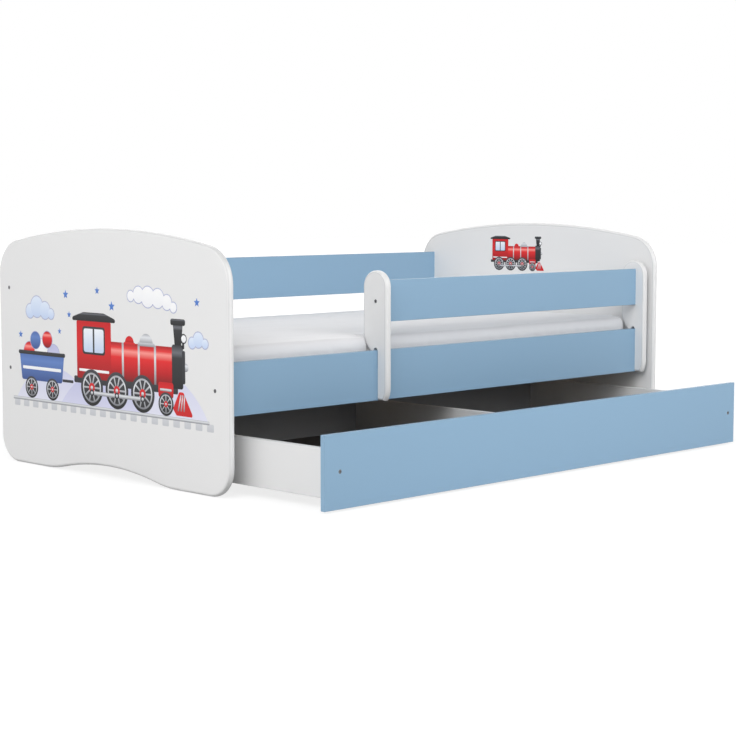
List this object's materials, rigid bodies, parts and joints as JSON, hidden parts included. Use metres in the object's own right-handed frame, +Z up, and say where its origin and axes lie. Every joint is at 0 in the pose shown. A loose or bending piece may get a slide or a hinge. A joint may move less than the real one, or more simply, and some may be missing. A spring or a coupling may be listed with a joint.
{
  "type": "children's bed",
  "caption": "Low children's bed with arched end panels, blue side rails, a front guard on hooked posts, a slatted base with mattress and a wide under-bed drawer that rolls out.",
  "frame": {"origin": "on the floor, in the middle of the footprint with the drawer standing open as in the picture", "axes": "+X along the bed from the foot end to the head end, +Y from the open side to the wall, +Z up"},
  "size_m": [1.64, 1.204, 0.612],
  "materials": {
    "white_board": "satin",
    "blue_board": "satin",
    "white_drawer_board": "satin",
    "hardboard": "matte",
    "pine": "matte",
    "mattress_cover": "matte",
    "beech_dowel": "matte",
    "wheel_plastic": "matte",
    "zinc_steel": "satin"
  },
  "bodies": {
    "bed_frame": {"footboard": "white_board", "headboard": "white_board", "front_side_rail": "blue_board", "rear_side_rail": "blue_board", "rear_guard_board": "blue_board", "front_guard_board": "blue_board", "guard_post_middle": "white_board", "guard_post_head": "white_board", "front_slat_ledger": "pine", "rear_slat_ledger": "pine", "slat_01": "pine", "slat_02": "pine", "slat_03": "pine", "slat_04": "pine", "slat_05": "pine", "slat_06": "pine", "slat_07": "pine", "slat_08": "pine", "slat_09": "pine", "slat_10": "pine", "slat_11": "pine", "slat_12": "pine", "mattress": "mattress_cover", "frame_screws": "zinc_steel", "frame_dowels": "beech_dowel", "guard_screws": "zinc_steel", "guard_dowels": "beech_dowel", "post_screws": "zinc_steel", "ledger_screws": "zinc_steel", "slat_screws": "zinc_steel"},
    "drawer": {"drawer_front": "blue_board", "drawer_side_foot": "white_drawer_board", "drawer_side_head": "white_drawer_board", "drawer_divider": "white_drawer_board", "drawer_back": "white_drawer_board", "drawer_bottom_foot": "hardboard", "drawer_bottom_head": "hardboard", "castor_strip_foot": "white_drawer_board", "castor_strip_head": "white_drawer_board", "castor_fork_foot_front": "zinc_steel", "castor_fork_foot_back": "zinc_steel", "castor_fork_head_front": "zinc_steel", "castor_fork_head_back": "zinc_steel", "castor_axle_foot_front": "zinc_steel", "castor_axle_foot_back": "zinc_steel", "castor_axle_head_front": "zinc_steel", "castor_axle_head_back": "zinc_steel", "drawer_screws": "zinc_steel", "drawer_dowels": "beech_dowel", "castor_screws": "zinc_steel"},
    "castor_wheel_foot_front": {"castor_wheel_foot_front": "wheel_plastic"},
    "castor_wheel_foot_back": {"castor_wheel_foot_back": "wheel_plastic"},
    "castor_wheel_head_front": {"castor_wheel_head_front": "wheel_plastic"},
    "castor_wheel_head_back": {"castor_wheel_head_back": "wheel_plastic"}
  },
  "joints": [
    {"name": "drawer_slide", "type": "slide", "parent": "bed_frame", "child": "drawer", "axis": [0, -1, 0], "range_m": [-0.324, 0.4]},
    {"name": "castor_spin_foot_front", "type": "hinge", "parent": "drawer", "child": "castor_wheel_foot_front", "pos_m": [-0.683, -0.527, 0.01], "axis": [1, 0, 0], "continuous": true},
    {"name": "castor_spin_foot_back", "type": "hinge", "parent": "drawer", "child": "castor_wheel_foot_back", "pos_m": [-0.683, 0.043, 0.01], "axis": [1, 0, 0], "continuous": true},
    {"name": "castor_spin_head_front", "type": "hinge", "parent": "drawer", "child": "castor_wheel_head_front", "pos_m": [0.706, -0.527, 0.01], "axis": [1, 0, 0], "continuous": true},
    {"name": "castor_spin_head_back", "type": "hinge", "parent": "drawer", "child": "castor_wheel_head_back", "pos_m": [0.706, 0.043, 0.01], "axis": [1, 0, 0], "continuous": true}
  ],
  "couplings": [
    {"joint": "castor_spin_foot_front", "follows": "drawer_slide", "rad_per_m": 100},
    {"joint": "castor_spin_foot_back", "follows": "drawer_slide", "rad_per_m": 100},
    {"joint": "castor_spin_head_front", "follows": "drawer_slide", "rad_per_m": 100},
    {"joint": "castor_spin_head_back", "follows": "drawer_slide", "rad_per_m": 100}
  ]
}
